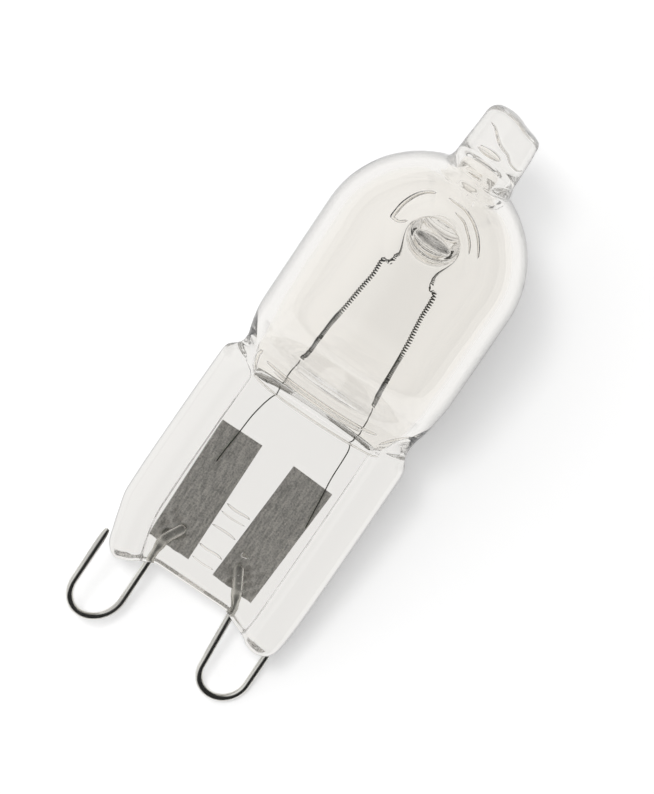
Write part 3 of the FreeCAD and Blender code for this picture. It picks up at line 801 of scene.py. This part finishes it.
class OBJECT_OT_quartz_envelope(bpy.types.Operator):
    """Adds the quartz bulb with its pinch, dimples and exhaust stub"""

    bl_idname = "capsule.quartz_envelope"
    bl_label = "Quartz envelope"

    def execute(self, context):
        sizes, colours = context.scene.capsule_sizes, context.scene.capsule_colours
        web, rail = sizes.web / MM / 2, sizes.rail / MM / 2
        outer = rolled("quartz_glass", AROUND, outer_rows(web, rail))
        gas = rolled("gas_space", AROUND, inner_rows())
        for side in (-1, 1):
            press_dimple(outer, side, BULB_RADIUS, AIR_PASSAGE, AIR_LIP, AIR_CUT, DIMPLE_SINK)
            press_dimple(gas, side, INNER_RADIUS, GAS_PASSAGE, GAS_LIP, GAS_CUT)
        turn_inside_out(gas)
        voids = [bubble(*row) for row in BUBBLES]
        for points, breadth in SEAL_FOLDS:
            path = smooth_path(points, SEAL_FOLD_STEP)
            taper = breadth * tapered(len(path), *SEAL_TAPER)
            width, depth = taper * FOLD_WIDTH, taper * FOLD_DEPTH
            voids.append(swept("seal_fold", path, width, depth, around=8, side=(0, 1, 0)))
            turn_inside_out(voids[-1])
        path = smooth_path(TIP_FOLD, TIP_FOLD_STEP)
        taper = tapered(len(path), *TIP_TAPER)
        voids.append(swept("tip_fold", path, taper, taper * TIP_FOLD_STRETCH, around=14))
        turn_inside_out(voids[-1])
        gas.data.materials.append(finish_quartz("quartz_inside", colours.quartz, False))
        outside = finish_quartz("clear_quartz", colours.quartz, True)
        for piece in (outer, *voids):
            piece.data.materials.append(outside)
        glass = join(outer, gas, *voids)
        settle(glass, "quartz_envelope")
        return {"FINISHED"}


# Foils

# Each foil's side, foot as (across, height), lean in degrees and the middle of its crumple.
FOILS = (
    ("left", (-3.0, 1.31), -0.8, (-3.3, 2.3)),
    ("right", (1.81, 1.31), 2.7, (2.0, 2.1)),
)
FOIL_WIDTH = 3.0
FOIL_LENGTH = 8.79
FOIL_THICKNESS = 0.04
CRUMPLE_ACROSS = 1.1
CRUMPLE_UP = 1.5
# Waves of the foils' crumple and ripple, as (height, turns across, turns up, start).
CRUMPLE = ((0.17, 5.1, 3.7, 0.0), (0.12, 9.3, -7.9, 1.3))
RIPPLE = ((0.012, 0.8, 2.3, 0.0), (0.008, 6.1, 0.9, 0.0))


def waves(table, x, z):
    return sum(rise * np.sin(over * x + up * z + start) for rise, over, up, start in table)


class OBJECT_OT_sealing_foils(bpy.types.Operator):
    """Adds the two thin foils that seal the current's way through the pinch"""

    bl_idname = "capsule.sealing_foils"
    bl_label = "Sealing foils"

    def execute(self, context):
        colour = context.scene.capsule_colours.foil
        finish = finish_foil(shade(colour, 1.25), shade(colour, 0.62))
        for word, (across, foot), lean, crush in FOILS:
            bpy.ops.object.select_all(action="DESELECT")
            bpy.ops.mesh.primitive_grid_add(x_subdivisions=36, y_subdivisions=104, size=1.0)
            foil = named("seal_foil_" + word)
            flat = points_of(foil)
            along_x, along_z = flat[:, 0] * FOIL_WIDTH, (flat[:, 1] + 0.5) * FOIL_LENGTH
            lean = math.radians(lean)
            x = across + along_x * math.cos(lean) + along_z * math.sin(lean)
            z = foot - along_x * math.sin(lean) + along_z * math.cos(lean)
            away = np.hypot((x - crush[0]) / CRUMPLE_ACROSS, (z - crush[1]) / CRUMPLE_UP)
            y = np.exp(-away**2) * waves(CRUMPLE, x, z) + waves(RIPPLE, x, z)
            put_points(foil, np.stack((x, y, z), axis=1))
            bpy.ops.object.modifier_add(type="SOLIDIFY")
            foil.modifiers[-1].thickness = FOIL_THICKNESS
            foil.modifiers[-1].offset = 0.0
            bpy.ops.object.modifier_apply(modifier=foil.modifiers[-1].name)
            foil.data.materials.append(finish)
            settle(foil, "molybdenum_foil_" + word, angle=50.0)
        return {"FINISHED"}


# Contact loops

# Each loop's side, outward direction, root across, spread, height of the bend's centre, swing in
# degrees, height of the free end, lean of the root in degrees, and the two ends of the flattened
# part as (across, height).
LOOPS = (
    ("left", -1, -3.53, 3.84, -3.42, 33.0, 0.53, 0.0, ((-3.5, 1.53), (-2.75, 3.05))),
    ("right", 1, 2.94, 3.36, -3.85, -23.0, -1.25, -4.3, ((2.1, 1.53), (1.3, 3.0))),
)
# The flattened part: section, depth, height where it begins, and last path point.
FLAT_WIDTH = 0.7
FLAT_THICKNESS = 0.2
FLAT_DEPTH = -0.15
FLAT_FROM = 0.5
FLAT_FADE = 0.7
FLAT_POINTS = 30
ROOT_TOP = 0.4
# Points over which the hammered end tapers and the free end is rounded.
TAPER_POINTS = 3
ROUND_POINTS = 5


def half_turn(centre, radius, along):
    """Points of a half-turn bend below its centre, from the root's side to the free side."""
    turn = np.linspace(math.pi, 2 * math.pi, 28)
    return centre + radius * (
        np.cos(turn)[:, None] * along + np.sin(turn)[:, None] * np.array((0.0, 0.0, 1.0))
    )


def line(start, end, count):
    share = np.linspace(0, 1, count)[:, None]
    return np.array(start) * (1 - share) + np.array(end) * share


def quarter_round(share):
    return np.sqrt(1 - np.clip(share, 0, 1) ** 2)


class OBJECT_OT_contact_loops(bpy.types.Operator):
    """Adds the two bent wires, each hammered flat where it meets its foil"""

    bl_idname = "capsule.contact_loops"
    bl_label = "Contact loops"

    def execute(self, context):
        wire = context.scene.capsule_sizes.wire / MM
        colour = context.scene.capsule_colours.contact
        finish = finish_wire("contact_wire", shade(colour, 1.15), shade(colour, 0.72))
        for word, outward, near, spread, centre, swing, end, lean, flat_ends in LOOPS:
            low, high = (np.array((x, FLAT_DEPTH, z)) for x, z in flat_ends)
            swing = math.radians(swing)
            along = np.array((outward * math.cos(swing), -math.sin(swing), 0.0))
            foot = np.array((near, 0.0, centre))
            middle = foot + along * spread / 2
            far = foot + along * spread
            slope = math.tan(math.radians(lean))
            top = (near + (ROOT_TOP - centre) * slope, 0.0, ROOT_TOP)
            path = np.concatenate((
                line(high, low, 12)[:-1],
                line(low, top, 10)[:-1],
                line(top, foot, 14)[:-1],
                half_turn(middle, spread / 2, along),
                line(far, far + np.array((0, 0, end - centre)), 16)[1:],
            ))
            flat = eased((path[:, 2] - FLAT_FROM) / FLAT_FADE)
            flat[FLAT_POINTS:] = 0
            width = wire + (FLAT_WIDTH - wire) * flat
            thick = wire + (FLAT_THICKNESS - wire) * flat
            # the hammered end tapers, the free end is rounded with its points drawn together
            point = np.arange(len(path), dtype=float)
            round_from = len(path) - 1 - ROUND_POINTS
            opening = quarter_round((TAPER_POINTS - point) / TAPER_POINTS)
            closing = quarter_round((point - round_from) / ROUND_POINTS)
            start, span = path[round_from].copy(), path[-1] - path[round_from]
            for step in range(1, ROUND_POINTS + 1):
                share = math.sin(math.pi / 2 * step / ROUND_POINTS)
                path[round_from + step] = start + span * share
            width, thick = width * closing * opening, thick * closing * opening
            loop = swept("contact_wire_" + word, path, width, thick, around=20)
            loop.data.materials.append(finish)
            settle(loop, "contact_loop_" + word)
        return {"FINISHED"}


# Filament

# Axis of the coil's two long sides, as (across, height), and the straight parts between them,
# each as start, end and number of points.
COIL_LEFT = (
    (-2.59, 16.3), (-2.31, 19.2), (-2.19, 20.1), (-2.05, 21.3), (-1.97, 22.3), (-1.86, 23.2),
    (-1.9, 24.15),
)
COIL_RIGHT = (
    (2.72, 16.3), (2.47, 19.2), (2.38, 20.6), (2.22, 21.8), (2.12, 22.7), (2.1, 23.6),
    (2.03, 24.1),
)
COIL_CROSSING = (
    ((-1.62, 0, 24.5), (-1.52, 0, 24.9), 6),
    ((-1.5, 0, 25.2), (-1.5, 0, 26.6), 12),
    ((-1.35, 0, 27.02), (1.5, 0, 27.0), 24),
    ((1.68, 0, 26.6), (1.68, 0, 25.2), 12),
    ((1.72, 0, 25.0), (1.9, 0, 24.4), 6),
)
# Pitch of the winding by height: tight at the feet, open above, closer at the crossing.
PITCH = (
    (16.0, 0.105), (19.6, 0.11), (20.1, 0.185), (23.6, 0.18), (24.6, 0.12), (28.0, 0.13),
)
# Share of the coil's diameter by height: a little slimmer where it climbs to the crossing.
SLIM_HEIGHTS = (24.2, 24.6, 26.6, 26.9)
SLIM_SHARES = (1.0, 0.9, 0.9, 1.0)
# Straight pieces to a turn of the coil, and steps along its axis and the tails.
TURN_SIDES = 10
AXIS_STEP = 0.02
TAIL_STEP = 0.1
# The bare tails, as (across, depth, height), from foil to coil and from coil to foil.
TAIL_LEFT = (
    (-3.47, -0.08, 7.6), (-3.42, -0.08, 8.6), (-3.3, -0.08, 9.9), (-3.22, -0.08, 11.2),
    (-3.02, -0.08, 12.4), (-2.78, -0.08, 13.3), (-2.65, -0.08, 13.9), (-2.63, -0.02, 15.0),
    (-2.62, 0.0, 16.2),
)
TAIL_RIGHT = (
    (2.74, 0.0, 16.2), (2.82, 0.0, 15.6), (2.83, -0.02, 14.9), (2.9, -0.08, 14.35),
    (2.7, -0.08, 13.75), (2.9, -0.08, 13.4), (3.04, -0.08, 12.7), (3.1, -0.08, 11.0),
    (3.25, -0.08, 9.6), (3.4, -0.08, 8.2), (3.52, -0.08, 7.2),
)


class OBJECT_OT_filament(bpy.types.Operator):
    """Adds the wound filament with its two bare tails"""

    bl_idname = "capsule.filament"
    bl_label = "Filament"

    def execute(self, context):
        sizes = context.scene.capsule_sizes
        coil, strand = sizes.coil / MM, sizes.strand / MM
        crossing = [line(*part) for part in COIL_CROSSING]
        sides = curve_axis(COIL_LEFT), curve_axis(COIL_RIGHT)[::-1]
        axis = smooth_path(np.concatenate((sides[0], *crossing, sides[1])), AXIS_STEP)
        length = lengths_along(axis)
        pitch = curve_through(PITCH)(axis[:, 2])
        turns = np.concatenate(([0], np.cumsum(np.diff(length) / ((pitch[1:] + pitch[:-1]) / 2))))
        steps = int(turns[-1] * TURN_SIDES)
        at = np.interp(np.linspace(0, turns[-1], steps), turns, length)
        centre = np.stack([np.interp(at, length, axis[:, k]) for k in range(3)], axis=1)
        depth = np.array((0.0, 1.0, 0.0))
        out = unit(np.cross(unit(np.gradient(centre, axis=0)), depth))
        angle = 2 * math.pi * np.arange(steps) / TURN_SIDES
        slim = np.interp(centre[:, 2], SLIM_HEIGHTS, SLIM_SHARES)
        radius = ((coil * slim - strand) / 2)[:, None]
        helix = centre + radius * (np.cos(angle)[:, None] * out + np.sin(angle)[:, None] * depth)
        paths = (
            ("tungsten_coil", helix),
            ("tail_left", smooth_path(TAIL_LEFT, TAIL_STEP)),
            ("tail_right", smooth_path(TAIL_RIGHT, TAIL_STEP)),
        )
        lengths = []
        for name, path in paths:
            width = np.full(len(path), strand)
            width[[0, -1]] = 0
            lengths.append(swept(name, path, width, around=7))
        filament = join(*lengths)
        colour = context.scene.capsule_colours.tungsten
        finish = finish_wire("tungsten_wire", shade(colour, 1.3), shade(colour, 0.7))
        filament.data.materials.append(finish)
        settle(filament, "filament")
        return {"FINISHED"}


def curve_axis(points):
    across = curve_through([(z, x) for x, z in points])
    height = np.linspace(points[0][1], points[-1][1], 60)
    return np.stack((across(height), np.zeros_like(height), height), axis=1)


def lengths_along(points):
    """Distance of each point from the first, along the points."""
    return np.concatenate(([0], np.cumsum(np.linalg.norm(np.diff(points, axis=0), axis=1))))


def smooth_path(points, step):
    """Even points along a smooth curve through the given ones."""
    points = np.array(points)
    length = lengths_along(points)
    fine = np.arange(0, length[-1], step)
    curves = [curve_through(list(zip(length, column))) for column in points.T]
    return np.stack([curve(fine) for curve in curves], axis=1)


# Stage

FLOOR_SIZE = 0.12
# The table's own light, how much of it is added through the glass, and its colour seen there.
FLOOR_GLOW = 0.42
GLOW_THROUGH_GLASS = 1.06
FLOOR_THROUGH_GLASS = grey(0.06)
WINDOW_SIDE = (-0.96, 0.2, 0.0)
# Brightness of the room by the turn away from the window, and by height over the horizon.
SKY = ((0.0, grey(0.03)), (0.52, grey(0.03)), (0.64, grey(0.9)), (1.0, grey(1.0)))
HORIZON = ((0.0, grey(0.4)), (0.2, grey(1.0)))
# What rays meet beyond the glass, by height over the horizon.
BEYOND_GLASS = (
    (0.0, grey(0.28)), (0.16, (0.8, 0.79, 0.78)), (0.45, (0.75, 0.74, 0.73)), (0.75, grey(0.24)),
    (1.0, grey(0.12)),
)
# Each lamp's name, place, size and power; both shine at the table's middle.
LAMPS = (
    ("window_light", (-0.4, 0.12, 1.0), 0.24, 2.6),
    ("ceiling_light", (-0.14, 0.04, 1.1), 0.3, 1.95),
)
# The picture's height in pixels, and the lamp's tilt and roll in it.
PICTURE_HEIGHT = 794
VIEW_CENTRE = Vector((0.03, 0.0, 14.93))
VIEW_TILT = 12.0
VIEW_ROLL = 34.0
PIXELS_PER_MM = 16.0
LENS = 180.0
SENSOR = 36.0


class OBJECT_OT_stage(bpy.types.Operator):
    """Adds the white table, the soft lights and the camera"""

    bl_idname = "capsule.stage"
    bl_label = "Stage"

    def execute(self, context):
        bpy.ops.object.select_all(action="DESELECT")
        bpy.ops.mesh.primitive_plane_add(size=FLOOR_SIZE, location=(0, 0, 0))
        floor = named("table_top")
        floor.data.materials.append(finish_floor())
        self.light()
        self.camera(context)
        return {"FINISHED"}

    def camera(self, context):
        turn = LAMP.to_3x3().normalized()
        front, along = turn @ Vector((0, -1, 0)), turn @ Vector((0, 0, 1))
        tilt, roll = math.radians(VIEW_TILT), math.radians(VIEW_ROLL)
        toward = front * math.cos(tilt) + along * math.sin(tilt)
        tip = (along - toward * along.dot(toward)).normalized()
        side = tip.cross(toward)
        right = tip * math.sin(roll) + side * math.cos(roll)
        up = toward.cross(right)
        height = PICTURE_HEIGHT / PIXELS_PER_MM * MM
        distance = LENS / SENSOR * height
        target = LAMP @ VIEW_CENTRE
        bpy.ops.object.camera_add()
        camera = context.object
        camera.name = "picture_camera"
        camera.data.lens = LENS
        camera.data.sensor_width = SENSOR
        camera.data.sensor_fit = "AUTO"
        camera.data.clip_start = 0.01
        facing = Matrix((right, up, toward)).transposed().to_4x4()
        camera.matrix_world = Matrix.Translation(target + toward * distance) @ facing
        context.scene.camera = camera

    def light(self):
        scene = bpy.context.scene
        scene.view_settings.view_transform = "Standard"
        # light is reflected many times inside the thick glass before it leaves
        scene.cycles.max_bounces = 32
        scene.cycles.glossy_bounces = 16
        scene.cycles.transmission_bounces = 32
        world = bpy.data.worlds.new("soft_room")
        scene.world = world
        world.use_nodes = True
        tree = world.node_tree
        background = tree.nodes["Background"]
        background.inputs["Strength"].default_value = 1.0
        place = node(tree, "ShaderNodeTexCoord").outputs["Generated"]
        height = node(tree, "ShaderNodeSeparateXYZ", Vector=place).outputs["Z"]
        # bright on the window's side, dark beyond the zenith and dim along the horizon
        facing = node(tree, "ShaderNodeVectorMath", operation="DOT_PRODUCT")
        put(tree, facing.inputs[0], place)
        put(tree, facing.inputs[1], WINDOW_SIDE)
        spread = node(tree, "ShaderNodeMapRange", Value=facing.outputs["Value"])
        spread.inputs["From Min"].default_value = -1.0
        sky, low = ramp(tree, spread.outputs["Result"], SKY), ramp(tree, height, HORIZON)
        room = mixed(tree, 1.0, sky, low, blend_type="MULTIPLY")
        rays = node(tree, "ShaderNodeLightPath").outputs
        pale = ramp(tree, height, BEYOND_GLASS)
        through = mixed(tree, rays["Is Transmission Ray"], room, pale)
        seen = mixed(tree, rays["Is Camera Ray"], through, (1, 1, 1, 1))
        put(tree, background.inputs["Color"], seen)
        for name, place, size, power in LAMPS:
            bpy.ops.object.light_add(type="AREA", location=place)
            lamp = bpy.context.object
            lamp.name = name
            lamp.data.shape = "SQUARE"
            lamp.data.size = size
            lamp.data.energy = power
            lamp.visible_glossy = False
            lamp.visible_transmission = False
            lamp.rotation_euler = (-Vector(place)).to_track_quat("-Z", "Y").to_euler()


class VIEW3D_PT_capsule(bpy.types.Panel):
    """Sizes, colours and steps of the capsule bulb"""

    bl_label = "Capsule bulb"
    bl_idname = "VIEW3D_PT_capsule"
    bl_space_type = "VIEW_3D"
    bl_region_type = "UI"
    bl_category = "Capsule bulb"

    def draw(self, context):
        for group in (context.scene.capsule_sizes, context.scene.capsule_colours):
            box = self.layout.box()
            for key in group.bl_rna.properties.keys():
                if key not in ("rna_type", "name"):
                    box.prop(group, key)
        for step in STEPS:
            self.layout.operator(step.bl_idname)


STEPS = (
    OBJECT_OT_quartz_envelope,
    OBJECT_OT_sealing_foils,
    OBJECT_OT_contact_loops,
    OBJECT_OT_filament,
    OBJECT_OT_stage,
)
CLASSES = (CapsuleSizes, CapsuleColours) + STEPS + (VIEW3D_PT_capsule,)


def register():
    for item in CLASSES:
        bpy.utils.register_class(item)
    bpy.types.Scene.capsule_sizes = bpy.props.PointerProperty(type=CapsuleSizes)
    bpy.types.Scene.capsule_colours = bpy.props.PointerProperty(type=CapsuleColours)


def unregister():
    del bpy.types.Scene.capsule_sizes
    del bpy.types.Scene.capsule_colours
    for item in reversed(CLASSES):
        bpy.utils.unregister_class(item)


def main():
    register()
    bpy.ops.capsule.quartz_envelope()
    bpy.ops.capsule.sealing_foils()
    bpy.ops.capsule.contact_loops()
    bpy.ops.capsule.filament()
    bpy.ops.capsule.stage()


if __name__ == "__main__":
    main()
